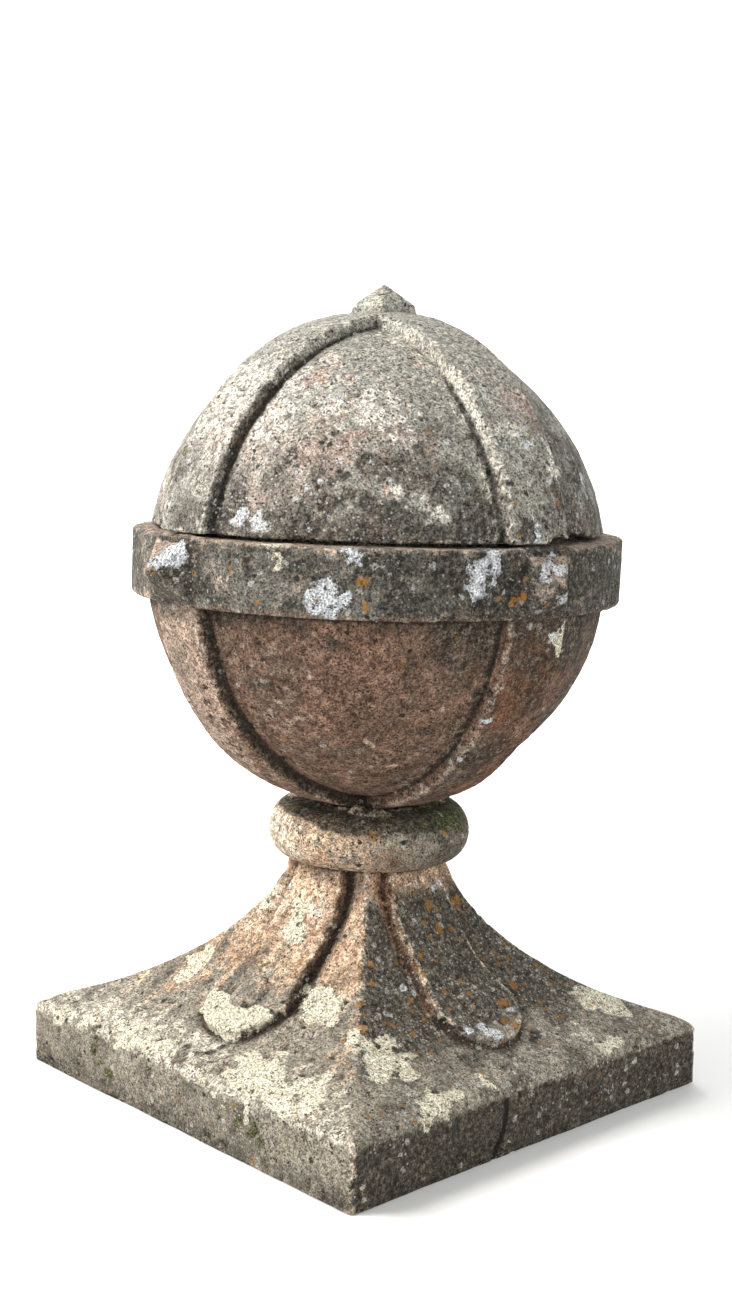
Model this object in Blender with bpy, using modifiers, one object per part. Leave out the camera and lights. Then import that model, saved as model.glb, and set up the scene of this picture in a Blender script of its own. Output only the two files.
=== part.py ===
"""Ball finial in cast stone for a gate pier.

A square plinth sweeps up in a hollow curve to a collar. A ball in two halves
rests on the collar: the lower half carries the belt and its studs, and the
domed upper half lies on the belt and ends in a small pyramid.

Units are metres, +Z is up, and the origin is the centre of the underside.
"""
import math

import bmesh
import bpy
from mathutils import Matrix, Vector

# Plinth and hollow-sided pedestal
PLINTH_SIDE = 0.460
PLINTH_EDGE = 0.055          # height of the plinth's upright edge
EDGE_WEAR_RUN = 0.008        # the worn slope between that edge and the hollow
EDGE_WEAR_RISE = 0.010
PEDESTAL_RISE = 0.155        # from the foot of the hollow to the neck
NECK_SIDE = 0.107
HOLLOW_RUN_OUT = 0.010       # the hollow would lie level this far past the plinth
HOLLOW_POWER = 1.60          # 2 is a quarter ellipse, 1 is a straight slope

# Tongue panel on each face of the pedestal
TONGUE_RISE = 0.010
TONGUE_ARRIS = 0.002
TONGUE_TOP_WIDTH = 0.056
TONGUE_WAIST_WIDTH = 0.074
EAR_WIDTH = 0.100
LOBE_WIDTH = 0.089
LOBE_LENGTH = 0.041
LOBE_MARGIN = 0.040          # along the slope, from the lobe to the hollow's foot
NOTCH_LENGTH = 0.003
WAIST_SHARE = 0.40           # where the waist lies along the tongue's shank
FLARE_SHARE = 0.49           # where the shank starts to flare to the ears
FLARE_POWER = 2.4
GROOVE_DEPTH = 0.004
GROOVE_WIDTH = 0.014
GROOVE_END_SHARE = 0.3       # of its depth, where it starts under the collar and ends
GROOVE_EASE_SHARE = 0.18     # of its length, over which it gets its full depth
BOSS_RADIUS = 0.016
BOSS_LENGTH = 0.020          # half its length along the slope
BOSS_RISE = 0.008

# Collar that the ball sits on
COLLAR_HEIGHT = 0.052
COLLAR_BULGE = 0.0205        # past the corners of the neck
COLLAR_LAP = 0.0005          # how far its underside drops below the neck's top
SEAT_RADIUS = 0.040

# Ball
BALL_RADIUS = 0.215          # over the sunk panels
DOME_POINT = 0.012           # the upper half rises this much more than its radius
STRAP_RISE = 0.012
STRAP_WIDTH = 0.066
STRAP_CORNER = 0.006         # rounding where two straps meet
BAND_HEIGHT = 0.060
BAND_DROP = 0.024            # from the ball's centre to the band's underside
BAND_PROUD = 0.002           # past the straps
BAND_ARRIS = 0.002
STUD_SIDE = 0.056
STUD_RISE = 0.028            # past the band
CAP_SIDE = 0.044
CAP_BLOCK = 0.0055           # the square block, above the crossing of the straps
CAP_POINT = 0.0205           # the pyramid on it
BED_RADIUS = 0.190           # the low bedding that leaves the joint open outside
BED_HEIGHT = 0.003
BALL_TURN = math.radians(-4.9)

# Fits and fineness
GAP = 0.0003
SINK = 0.006                 # how far an applied form runs into what carries it
ROUND_STEPS = 48
ARC_STEPS = 13
HOLLOW_STEPS = 22
TONGUE_STEPS = 16
LOBE_STEPS = 9
CORNER_STEPS = 3
BOSS_SIDES = 12
BOSS_RINGS = 6
SHARP_ANGLE = math.radians(25)

# Sizes that follow from the ones above
PLINTH_HALF = PLINTH_SIDE / 2
NECK_HALF = NECK_SIDE / 2
NECK_CORNER = NECK_HALF * math.sqrt(2)
FOOT_HALF = PLINTH_HALF - EDGE_WEAR_RUN
FOOT_Z = PLINTH_EDGE + EDGE_WEAR_RISE
NECK_Z = FOOT_Z + PEDESTAL_RISE
COLLAR_TOP = NECK_Z - COLLAR_LAP + COLLAR_HEIGHT
STRAP_RADIUS = BALL_RADIUS + STRAP_RISE
DOME_RISE = BALL_RADIUS + DOME_POINT
BALL_Z = COLLAR_TOP + math.sqrt((STRAP_RADIUS + GAP) ** 2 - SEAT_RADIUS ** 2)
BAND_RADIUS = STRAP_RADIUS + BAND_PROUD
BAND_TOP = BAND_HEIGHT - BAND_DROP
BAND_MIDDLE = BAND_HEIGHT / 2 - BAND_DROP
DOME_FOOT = BAND_TOP + BED_HEIGHT + GAP
STRAP_TOP = DOME_RISE + STRAP_RISE

STONE = {
    "pedestal": (0.42, 0.33, 0.25),
    "lower_half_ball": (0.36, 0.27, 0.21),
    "upper_half_ball": (0.45, 0.41, 0.35),
}


def clear_scene():
    for item in list(bpy.data.objects):
        bpy.data.objects.remove(item, do_unlink=True)


def new_collection(name):
    group = bpy.data.collections.new(name)
    bpy.context.scene.collection.children.link(group)
    return group


def new_object(name, mesh, group):
    item = bpy.data.objects.new(name, mesh)
    group.objects.link(item)
    if group.name == "cutters":
        item.hide_render = True
        item.display_type = "WIRE"
    return item


def stone(name):
    material = bpy.data.materials.new(name + "_stone")
    material.use_nodes = True
    shader = material.node_tree.nodes["Principled BSDF"]
    shader.inputs["Base Color"].default_value = (*STONE[name], 1.0)
    shader.inputs["Roughness"].default_value = 0.9
    shader.inputs["Metallic"].default_value = 0.0
    return material


def turned(name, profile, group, steps=ROUND_STEPS):
    """Turn a profile of (radius, height) points, given from the top down."""
    mesh = bpy.data.meshes.new(name)
    points = [(radius, 0.0, height) for radius, height in profile]
    edges = [(i, i + 1) for i in range(len(points) - 1)]
    mesh.from_pydata(points, edges, [])
    item = new_object(name, mesh, group)
    screw = item.modifiers.new("turn", "SCREW")
    screw.axis = "Z"
    screw.angle = math.tau
    screw.steps = steps
    screw.render_steps = steps
    screw.use_merge_vertices = True
    screw.merge_threshold = 0.00001
    return item


def square_turned(name, profile, group):
    """Turn a profile of (half side, height) points into a square section."""
    corners = [(half * math.sqrt(2), height) for half, height in profile]
    item = turned(name, corners, group, steps=4)
    item.rotation_euler.z = math.pi / 4
    return item


def lofts(name, runs, group):
    """Join each run of equal sections into a closed skin, all in one mesh."""
    shape = bmesh.new()
    for sections in runs:
        rings = [[shape.verts.new(point) for point in section] for section in sections]
        for one, two in zip(rings, rings[1:]):
            for i in range(len(one)):
                j = (i + 1) % len(one)
                shape.faces.new((one[i], one[j], two[j], two[i]))
        shape.faces.new(list(reversed(rings[0])))
        shape.faces.new(rings[-1])
    bmesh.ops.recalc_face_normals(shape, faces=shape.faces)
    mesh = bpy.data.meshes.new(name)
    shape.to_mesh(mesh)
    shape.free()
    return new_object(name, mesh, group)


def combine(item, other, operation):
    step = item.modifiers.new(other.name, "BOOLEAN")
    step.operation = operation
    step.solver = "EXACT"
    step.object = other


def finished(item, name):
    """Apply the modifiers, then shade the round faces smooth."""
    bpy.context.view_layer.update()
    evaluated = item.evaluated_get(bpy.context.evaluated_depsgraph_get())
    mesh = bpy.data.meshes.new_from_object(evaluated)
    item.modifiers.clear()
    item.data = mesh
    mesh.materials.clear()
    mesh.materials.append(stone(name))
    mesh.shade_smooth()
    mesh.set_sharp_from_angle(angle=SHARP_ANGLE)
    return item


def arc(radius, rise, start, end):
    """Points of an ellipse about the ball's centre, between two heights."""
    first = math.asin(max(-1.0, min(1.0, start / rise)))
    last = math.asin(max(-1.0, min(1.0, end / rise)))
    points = []
    for i in range(ARC_STEPS + 1):
        angle = first + (last - first) * i / ARC_STEPS
        points.append((max(0.0, radius * math.cos(angle)), rise * math.sin(angle)))
    return points


class Hollow:
    """The hollow curve of a pedestal face, measured down from the neck."""

    SAMPLES = 400

    def __init__(self):
        run = PLINTH_HALF + HOLLOW_RUN_OUT
        reach = run - NECK_HALF
        power = 2 / HOLLOW_POWER
        last = math.acos(((run - FOOT_HALF) / reach) ** (1 / power))
        drop = PEDESTAL_RISE / math.sin(last) ** power
        self.points = []
        for i in range(self.SAMPLES + 1):
            angle = last * i / self.SAMPLES
            half = run - reach * math.cos(angle) ** power
            self.points.append(Vector((half, NECK_Z - drop * math.sin(angle) ** power)))
        self.lengths = [0.0]
        for one, two in zip(self.points, self.points[1:]):
            self.lengths.append(self.lengths[-1] + (two - one).length)
        self.length = self.lengths[-1]

    def at(self, distance):
        """The point and the outward normal at a distance along the curve."""
        if distance <= 0:
            return self.points[0] + Vector((0, -distance)), Vector((1, 0))
        i = 1
        while i < self.SAMPLES and self.lengths[i] < distance:
            i += 1
        one, two = self.points[i - 1], self.points[i]
        share = (distance - self.lengths[i - 1]) / (self.lengths[i] - self.lengths[i - 1])
        along = (two - one).normalized()
        return one.lerp(two, share), Vector((-along.y, along.x))


HOLLOW = Hollow()
TONGUE_LENGTH = HOLLOW.length - LOBE_MARGIN
SHANK_LENGTH = TONGUE_LENGTH - LOBE_LENGTH - NOTCH_LENGTH


def shank_half(distance):
    """Half the tongue's width down to the ears."""
    share = max(0.0, distance) / SHANK_LENGTH
    taper = max(0.0, 1 - share / WAIST_SHARE)
    flare = max(0.0, (share - FLARE_SHARE) / (1 - FLARE_SHARE))
    half = TONGUE_WAIST_WIDTH / 2
    half -= (TONGUE_WAIST_WIDTH - TONGUE_TOP_WIDTH) / 2 * taper ** 2
    half += (EAR_WIDTH - TONGUE_WAIST_WIDTH) / 2 * flare ** FLARE_POWER
    return half


def tongue_stations():
    """Distance down the face and half width at each section of a tongue."""
    stations = []
    for i in range(TONGUE_STEPS + 1):
        distance = -SINK + (SHANK_LENGTH + SINK) * i / TONGUE_STEPS
        stations.append((distance, shank_half(distance)))
    start = SHANK_LENGTH + NOTCH_LENGTH
    for i in range(LOBE_STEPS):
        angle = math.pi / 2 * i / (LOBE_STEPS - 0.5)
        distance = start + LOBE_LENGTH * math.sin(angle)
        stations.append((distance, LOBE_WIDTH / 2 * math.cos(angle)))
    return stations


def on_face(turn, across, distance, height):
    """A point on a pedestal face: across it, down it and out from it."""
    place, normal = HOLLOW.at(distance)
    out = place.x + normal.x * height
    up = place.y + normal.y * height
    return turn @ Vector((across, -out, up))


def face_turns():
    return [Matrix.Rotation(math.pi / 2 * i, 3, "Z") for i in range(4)]


def tongue_sections(turn):
    sections = []
    for distance, half in tongue_stations():
        arris = min(TONGUE_ARRIS, half / 2)
        outline = [
            (-half, -SINK),
            (half, -SINK),
            (half, TONGUE_RISE - arris),
            (half - arris, TONGUE_RISE),
            (arris - half, TONGUE_RISE),
            (-half, TONGUE_RISE - arris),
        ]
        sections.append([on_face(turn, x, distance, h) for x, h in outline])
    return sections


def groove_sections(turn, side):
    """The groove beside a tongue, deepest at the tongue's wall.

    Its slope reaches the face after the groove's width and runs on by half
    as much again, so that the cutter's top is clear of the face.
    """
    sections = []
    for i in range(TONGUE_STEPS + 1):
        share = i / TONGUE_STEPS
        distance = SHANK_LENGTH * share
        ease = min(1.0, share / GROOVE_EASE_SHARE, (1 - share) / GROOVE_EASE_SHARE)
        depth = GROOVE_DEPTH * (GROOVE_END_SHARE + (1 - GROOVE_END_SHARE) * ease)
        half = shank_half(distance)
        inner = half - SINK / 2
        outer = half + GROOVE_WIDTH * 1.5
        outline = [(inner, -depth), (half, -depth), (outer, depth / 2), (inner, depth / 2)]
        sections.append([on_face(turn, side * x, distance, h) for x, h in outline])
    return sections


def bosses(group):
    """The rounded end of each tongue, standing out above its lobe."""
    shape = bmesh.new()
    place, normal = HOLLOW.at(SHANK_LENGTH)
    tilt = math.atan2(normal.y, normal.x)
    centre = place + normal * TONGUE_RISE
    size = Matrix.Diagonal((BOSS_RADIUS, BOSS_RISE, BOSS_LENGTH, 1.0))
    for turn in face_turns():
        lie = Matrix.Rotation(-tilt, 4, "X")
        move = Matrix.Translation((0.0, -centre.x, centre.y))
        matrix = turn.to_4x4() @ move @ lie @ size
        bmesh.ops.create_uvsphere(
            shape, u_segments=BOSS_SIDES, v_segments=BOSS_RINGS, radius=1.0, matrix=matrix
        )
    mesh = bpy.data.meshes.new("bosses")
    shape.to_mesh(mesh)
    shape.free()
    return new_object("bosses", mesh, group)


def collar(group):
    middle = COLLAR_TOP - COLLAR_HEIGHT / 2
    profile = [(0.0, COLLAR_TOP)]
    for i in range(ARC_STEPS + 1):
        angle = math.pi / 2 - math.pi * i / ARC_STEPS
        radius = NECK_CORNER + COLLAR_BULGE * math.cos(angle)
        profile.append((radius, middle + COLLAR_HEIGHT / 2 * math.sin(angle)))
    profile.append((0.0, COLLAR_TOP - COLLAR_HEIGHT))
    return turned("collar", profile, group)


def pedestal(parts, cutters, ball):
    """Plinth, hollow pedestal with its four tongues, and collar."""
    profile = [(0.0, NECK_Z)]
    for i in range(HOLLOW_STEPS + 1):
        point = HOLLOW.at(HOLLOW.length * i / HOLLOW_STEPS)[0]
        profile.append((point.x, point.y))
    profile.append((PLINTH_HALF, PLINTH_EDGE))
    profile.append((PLINTH_HALF, 0.0))
    profile.append((0.0, 0.0))
    item = square_turned("pedestal", profile, parts)
    grooves = [groove_sections(turn, side) for turn in face_turns() for side in (-1, 1)]
    tongues = [tongue_sections(turn) for turn in face_turns()]
    combine(item, lofts("grooves", grooves, cutters), "DIFFERENCE")
    combine(item, collar(cutters), "UNION")
    combine(item, lofts("tongues", tongues, cutters), "UNION")
    combine(item, bosses(cutters), "UNION")
    seat = turned("seat", strap_profile(GAP), cutters)
    seat.parent = ball
    combine(item, seat, "DIFFERENCE")
    return finished(item, "pedestal")


def strap_profile(clearance):
    """The lower straps' sphere, from inside the band down to its pole."""
    radius = STRAP_RADIUS + clearance
    return [(0.0, BAND_MIDDLE)] + arc(radius, radius, BAND_MIDDLE, -radius)


def recesses(name, top, bottom, group):
    """Four square blocks that leave two crossing straps between them."""
    side = 2 * BAND_RADIUS
    shape = bmesh.new()
    for across in (-1, 1):
        for deep in (-1, 1):
            middle = Vector((across, deep, 0.0)) * (STRAP_WIDTH + side) / 2
            middle.z = (top + bottom) / 2
            size = Matrix.Diagonal((side, side, top - bottom, 1.0))
            bmesh.ops.create_cube(shape, size=1.0, matrix=Matrix.Translation(middle) @ size)
    upright = [edge for edge in shape.edges if (edge.verts[0].co - edge.verts[1].co).xy.length < GAP]
    bmesh.ops.bevel(
        shape, geom=upright, offset=STRAP_CORNER, segments=CORNER_STEPS, profile=0.5, affect="EDGES"
    )
    mesh = bpy.data.meshes.new(name)
    shape.to_mesh(mesh)
    shape.free()
    return new_object(name, mesh, group)


def studs(cutters, ball):
    """Square pyramids on the band, one over each strap."""
    half = STUD_SIDE / 2
    foot = math.sqrt(BAND_RADIUS ** 2 - half ** 2) - 2 * GAP
    items = []
    for i in range(4):
        profile = [(0.0, BAND_RADIUS + STUD_RISE), (half, foot), (half, foot - SINK)]
        profile.append((0.0, foot - SINK))
        item = square_turned("stud_%d" % (i + 1), profile, cutters)
        item.parent = ball
        spin = Matrix.Rotation(math.pi / 2 * i, 4, "Z")
        point_out = Matrix.Rotation(math.pi / 2, 4, "Y")
        square_up = Matrix.Rotation(math.pi / 4, 4, "Z")
        lift = Matrix.Translation((0.0, 0.0, BAND_MIDDLE))
        item.matrix_local = lift @ spin @ point_out @ square_up
        items.append(item)
    return items


def lower_half_ball(parts, cutters, ball):
    """Bowl, belt with four studs, and the low bed that the dome lies on."""
    profile = [
        (0.0, BAND_TOP + BED_HEIGHT),
        (BED_RADIUS, BAND_TOP + BED_HEIGHT),
        (BED_RADIUS + BED_HEIGHT, BAND_TOP),
        (BAND_RADIUS - BAND_ARRIS, BAND_TOP),
        (BAND_RADIUS, BAND_TOP - BAND_ARRIS),
        (BAND_RADIUS, BAND_ARRIS - BAND_DROP),
        (BAND_RADIUS - BAND_ARRIS, -BAND_DROP),
    ]
    profile += arc(BALL_RADIUS, BALL_RADIUS, -BAND_DROP, -BALL_RADIUS)
    item = turned("lower_half_ball", profile, parts)
    item.parent = ball
    straps = turned("lower_straps", strap_profile(0.0), cutters)
    straps.parent = ball
    hollows = recesses("lower_recesses", BAND_TOP, -2 * STRAP_RADIUS, cutters)
    hollows.parent = ball
    combine(straps, hollows, "DIFFERENCE")
    combine(item, straps, "UNION")
    for stud in studs(cutters, ball):
        combine(item, stud, "UNION")
    return finished(item, "lower_half_ball")


def upper_half_ball(parts, cutters, ball):
    """Domed half with crossing straps, under a square block and pyramid."""
    panels = [(0.0, DOME_RISE)] + arc(BALL_RADIUS, DOME_RISE, DOME_RISE, DOME_FOOT)[1:]
    item = turned("upper_half_ball", panels + [(0.0, DOME_FOOT)], parts)
    item.parent = ball
    outer = [(0.0, STRAP_TOP)] + arc(STRAP_RADIUS, STRAP_TOP, STRAP_TOP, DOME_FOOT)[1:]
    straps = turned("upper_straps", outer + [(0.0, DOME_FOOT)], cutters)
    straps.parent = ball
    hollows = recesses("upper_recesses", 2 * STRAP_TOP, -BAND_DROP, cutters)
    hollows.parent = ball
    combine(straps, hollows, "DIFFERENCE")
    combine(item, straps, "UNION")
    arris = STRAP_TOP + CAP_BLOCK
    half = CAP_SIDE / 2
    foot = arris - 2 * SINK
    profile = [(0.0, arris + CAP_POINT), (half, arris), (half, foot), (0.0, foot)]
    cap = square_turned("cap", profile, cutters)
    cap.parent = ball
    combine(item, cap, "UNION")
    return finished(item, "upper_half_ball")


def main():
    clear_scene()
    parts = new_collection("ball_finial")
    cutters = new_collection("cutters")
    ball = bpy.data.objects.new("ball_axis", None)
    parts.objects.link(ball)
    ball.location.z = BALL_Z
    ball.rotation_euler.z = BALL_TURN
    pedestal(parts, cutters, ball)
    lower_half_ball(parts, cutters, ball)
    upper_half_ball(parts, cutters, ball)


main()
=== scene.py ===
import math
from collections import namedtuple

import bmesh
import bpy
import numpy as np
from mathutils import Matrix, Vector
from mathutils.bvhtree import BVHTree


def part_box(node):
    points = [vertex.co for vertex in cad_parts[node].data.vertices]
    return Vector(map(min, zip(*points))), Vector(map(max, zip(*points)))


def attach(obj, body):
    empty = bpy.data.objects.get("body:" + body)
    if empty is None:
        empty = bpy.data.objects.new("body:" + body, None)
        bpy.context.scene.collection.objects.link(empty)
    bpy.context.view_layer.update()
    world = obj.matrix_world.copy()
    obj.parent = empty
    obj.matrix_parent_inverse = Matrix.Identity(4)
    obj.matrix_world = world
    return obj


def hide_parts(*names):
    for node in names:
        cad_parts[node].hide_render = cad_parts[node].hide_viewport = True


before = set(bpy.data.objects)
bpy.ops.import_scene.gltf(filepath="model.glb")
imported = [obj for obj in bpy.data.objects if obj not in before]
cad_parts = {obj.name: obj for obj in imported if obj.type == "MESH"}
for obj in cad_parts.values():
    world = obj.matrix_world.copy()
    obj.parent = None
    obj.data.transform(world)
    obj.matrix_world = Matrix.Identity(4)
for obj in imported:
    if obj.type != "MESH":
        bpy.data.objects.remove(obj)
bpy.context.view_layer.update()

# Sizes of the solids, in metres, as the construction has them
PLINTH_EDGE = 0.055
EDGE_WEAR_RUN = 0.008
EDGE_WEAR_RISE = 0.010
PEDESTAL_RISE = 0.155
NECK_SIDE = 0.107
HOLLOW_RUN_OUT = 0.010
HOLLOW_POWER = 1.60
TONGUE_RISE = 0.010
TONGUE_TOP_WIDTH = 0.056
TONGUE_WAIST_WIDTH = 0.074
EAR_WIDTH = 0.100
LOBE_WIDTH = 0.089
LOBE_LENGTH = 0.041
LOBE_MARGIN = 0.040
NOTCH_LENGTH = 0.003
WAIST_SHARE = 0.40
FLARE_SHARE = 0.49
FLARE_POWER = 2.4
GROOVE_DEPTH = 0.004
GROOVE_WIDTH = 0.014
BOSS_RADIUS = 0.016
BOSS_LENGTH = 0.020
BOSS_RISE = 0.008
COLLAR_HEIGHT = 0.052
COLLAR_BULGE = 0.0205
BALL_RADIUS = 0.215
DOME_POINT = 0.012
STRAP_RISE = 0.012
STRAP_WIDTH = 0.066
BAND_HEIGHT = 0.060
BAND_DROP = 0.024
BAND_PROUD = 0.002
STUD_SIDE = 0.056
STUD_RISE = 0.028
CAP_SIDE = 0.044
CAP_BLOCK = 0.0055
CAP_POINT = 0.0205
BED_RADIUS = 0.190
BED_HEIGHT = 0.003
SEAT_RADIUS = 0.040
BALL_TURN = math.radians(-4.9)
GAP = 0.0003

# Damage and mortar seen in the photograph: the crack in the plinth's right side,
# the broken foot of the dome, and the lumps of mortar round the ball's seat
CRACK_FOOT = -0.0600
CRACK_TOP = -0.0460
CRACK_BEND = 0.0065
CRACK_DEPTH = 0.0022
CRACK_HALF_WIDTH = 0.0035
BROKEN_ANGLE = math.radians(9)
BROKEN_HALF_ANGLE = math.radians(13)
BROKEN_RISE = 0.010
BROKEN_INNER = 0.192
BROKEN_OUTER = 0.205
MORTAR_RADIUS = 0.052
MORTAR_SINK = 0.002
MORTAR_LIFT = 0.012
MOUND_ANGLE = math.radians(-44)
MOUND_RADIUS = 0.065
MOUND_DEPTH = 0.014
MOUND_WIDTH = 0.022
MOUND_HEIGHT = 0.015
MOUND_SIZES = (1.0, 0.7, 0.8, 0.6)

# Widths, in metres, over which two forms run into each other
CREASE = 0.0015
SOFT_CREASE = 0.004
FACE_JOIN = 0.012
ARRIS = 0.003

# Places worked out from the frame and those sizes
PEDESTAL_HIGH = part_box("pedestal")[1]
PLINTH_HALF = float(PEDESTAL_HIGH[0])
COLLAR_TOP = float(PEDESTAL_HIGH[2])
FOOT_HALF = PLINTH_HALF - EDGE_WEAR_RUN
FOOT_Z = PLINTH_EDGE + EDGE_WEAR_RISE
NECK_Z = FOOT_Z + PEDESTAL_RISE
NECK_HALF = NECK_SIDE / 2
NECK_CORNER = NECK_HALF * math.sqrt(2)
COLLAR_MIDDLE = COLLAR_TOP - COLLAR_HEIGHT / 2
STRAP_RADIUS = BALL_RADIUS + STRAP_RISE
DOME_RISE = BALL_RADIUS + DOME_POINT
BALL_Z = COLLAR_TOP + math.sqrt((STRAP_RADIUS + GAP) ** 2 - SEAT_RADIUS ** 2)
BAND_RADIUS = STRAP_RADIUS + BAND_PROUD
BAND_TOP = BAND_HEIGHT - BAND_DROP
BAND_MIDDLE = BAND_HEIGHT / 2 - BAND_DROP
DOME_FOOT = BAND_TOP + BED_HEIGHT + GAP
STRAP_TOP = DOME_RISE + STRAP_RISE

# The photograph's frame and the camera that was fitted to it
PHOTO_WIDTH = 732
PHOTO_HEIGHT = 1300
FOCAL_PIXELS = 1807.6
SENSOR = 36.0
CAMERA_AZIMUTH = math.radians(46.003)
CAMERA_DISTANCE = 1.7074
CAMERA_HEIGHT = 0.6476
CAMERA_YAW = math.radians(0.261)
CAMERA_PITCH = math.radians(7.7025)
CAMERA_ROLL = math.radians(1.5915)
TOWARD_CAMERA = np.array([math.sin(CAMERA_AZIMUTH), -math.cos(CAMERA_AZIMUTH), 0.0])

# The way to the side that is turned to the sun. The masks paint faces turned this way lighter, warmer and
# cleaner, and faces turned away darker: partly weathering, partly painted light and shade
SUNNY = np.array([-0.69, -0.72, 0.0])


def camera_axes():
    """Place, right, up and forward of the photograph's camera."""
    place = Vector((math.sin(CAMERA_AZIMUTH), -math.cos(CAMERA_AZIMUTH), 0.0)) * CAMERA_DISTANCE
    place.z = CAMERA_HEIGHT
    turn = CAMERA_AZIMUTH + CAMERA_YAW
    flat = math.cos(CAMERA_PITCH)
    forward = Vector((-math.sin(turn) * flat, math.cos(turn) * flat, -math.sin(CAMERA_PITCH)))
    level = forward.cross(Vector((0, 0, 1))).normalized()
    upright = level.cross(forward)
    right = level * math.cos(CAMERA_ROLL) + upright * math.sin(CAMERA_ROLL)
    up = upright * math.cos(CAMERA_ROLL) - level * math.sin(CAMERA_ROLL)
    return place, right, up, forward


def add_camera():
    place, right, up, forward = camera_axes()
    data = bpy.data.cameras.new("camera")
    data.sensor_width = SENSOR
    data.lens = FOCAL_PIXELS * SENSOR / PHOTO_HEIGHT
    data.clip_start = 0.01
    camera = bpy.data.objects.new("camera", data)
    turn = Matrix((right, up, -forward)).transposed().to_4x4()
    camera.matrix_world = Matrix.Translation(place) @ turn
    bpy.context.scene.collection.objects.link(camera)
    bpy.context.scene.camera = camera


# Smooth noise on whole arrays of points

def lattice(cells, seed):
    """A repeatable value from 0 to 1 at each whole-numbered point."""
    x, y, z = cells.T.astype(np.uint64)
    mix = x * np.uint64(73856093) ^ y * np.uint64(19349663) ^ z * np.uint64(83492791)
    mix = (mix + np.uint64(seed) * np.uint64(2654435761)) & np.uint64(0xFFFFFFFF)
    mix = (mix ^ (mix >> np.uint64(15))) * np.uint64(2246822519) & np.uint64(0xFFFFFFFF)
    mix = (mix ^ (mix >> np.uint64(13))) * np.uint64(3266489917) & np.uint64(0xFFFFFFFF)
    mix = mix ^ (mix >> np.uint64(16))
    return mix.astype(np.float64) / 4294967295.0


def noise(points, size, seed):
    """Value noise from -1 to 1 whose cells are size metres wide."""
    place = points / size + 4096.0
    cells = np.floor(place).astype(np.int64)
    share = place - cells
    share = share * share * (3 - 2 * share)
    total = np.zeros(len(points))
    for corner in range(8):
        weight = 1.0
        step = [(corner >> axis) & 1 for axis in range(3)]
        for part, ahead in zip(share.T, step):
            weight = weight * (part if ahead else 1 - part)
        total += weight * lattice(cells + np.array(step), seed)
    return total * 2 - 1


def layered(points, size, seed, layers=3):
    """Several layers of noise, each half the size and strength of the last."""
    total = np.zeros(len(points))
    reach = 0.0
    for i in range(layers):
        strength = 0.5 ** i
        total += strength * noise(points, size / 2 ** i, seed + 17 * i)
        reach += strength
    return total / reach


def soft_max(one, two, width):
    share = np.clip(0.5 + 0.5 * (one - two) / width, 0, 1)
    return two + (one - two) * share + width * share * (1 - share)


def soft_min(one, two, width):
    return -soft_max(-one, -two, width)


def ramp(value, low, high):
    share = np.clip((value - low) / (high - low), 0, 1)
    return share * share * (3 - 2 * share)


# Signed distance to each piece, negative inside the stone

def ball_frame(points):
    """Points seen from the ball's centre, turned with the ball."""
    cos, sin = math.cos(-BALL_TURN), math.sin(-BALL_TURN)
    x = points[:, 0] * cos - points[:, 1] * sin
    y = points[:, 0] * sin + points[:, 1] * cos
    return np.stack([x, y, points[:, 2] - BALL_Z], axis=1)


def ellipse(values, sizes):
    """Distance to an ellipsoid or an ellipse, close to its surface."""
    near = np.sqrt(sum((v / s) ** 2 for v, s in zip(values, sizes)))
    slope = sum((v / s ** 2) ** 2 for v, s in zip(values, sizes))
    return near * (near - 1) / np.sqrt(np.maximum(slope, 1e-9))


class Face:
    """The hollow face of the pedestal: distance down it and the tongue's outline."""

    SAMPLES = 400

    def __init__(self):
        self.run = PLINTH_HALF + HOLLOW_RUN_OUT
        self.reach = self.run - NECK_HALF
        power = 2 / HOLLOW_POWER
        last = math.acos(((self.run - FOOT_HALF) / self.reach) ** (1 / power))
        self.drop = PEDESTAL_RISE / math.sin(last) ** power
        angle = np.linspace(0, last, self.SAMPLES + 1)
        half = self.run - self.reach * np.cos(angle) ** power
        height = NECK_Z - self.drop * np.sin(angle) ** power
        step = np.hypot(np.diff(half), np.diff(height))
        self.heights = height
        self.lengths = np.concatenate([[0.0], np.cumsum(step)])
        self.tongue = self.lengths[-1] - LOBE_MARGIN
        self.shank = self.tongue - LOBE_LENGTH - NOTCH_LENGTH

    def hollow(self, half, height):
        """Distance from the hollow, and how much its normal points up."""
        across = np.maximum(self.run - half, 1e-6) / self.reach
        down = np.maximum(NECK_Z - height, 0) / self.drop
        value = across ** HOLLOW_POWER + down ** HOLLOW_POWER
        side = HOLLOW_POWER * across ** (HOLLOW_POWER - 1) / self.reach
        rise = HOLLOW_POWER * down ** (HOLLOW_POWER - 1) / self.drop
        slope = np.hypot(side, rise)
        return (1 - value) / slope, rise / slope

    def down(self, height):
        """Distance down the face from the neck, for a height on the face."""
        return np.interp(-height, -self.heights, self.lengths) - np.maximum(height - NECK_Z, 0)

    def shank_half(self, down):
        share = np.clip(down / self.shank, 0, 1)
        taper = np.maximum(0, 1 - share / WAIST_SHARE)
        flare = np.maximum(0, (share - FLARE_SHARE) / (1 - FLARE_SHARE))
        half = TONGUE_WAIST_WIDTH / 2 - (TONGUE_WAIST_WIDTH - TONGUE_TOP_WIDTH) / 2 * taper ** 2
        return half + (EAR_WIDTH - TONGUE_WAIST_WIDTH) / 2 * flare ** FLARE_POWER

    def places(self, points, wear):
        """Half side, height out of the face, distance down it and distance across it."""
        x, y = np.abs(points[:, 0]), np.abs(points[:, 1])
        half = soft_max(x, y, wear)
        out, up = self.hollow(half, points[:, 2])
        return half, out, self.down(points[:, 2] - out * up), np.minimum(x, y)


FACE = Face()


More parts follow.
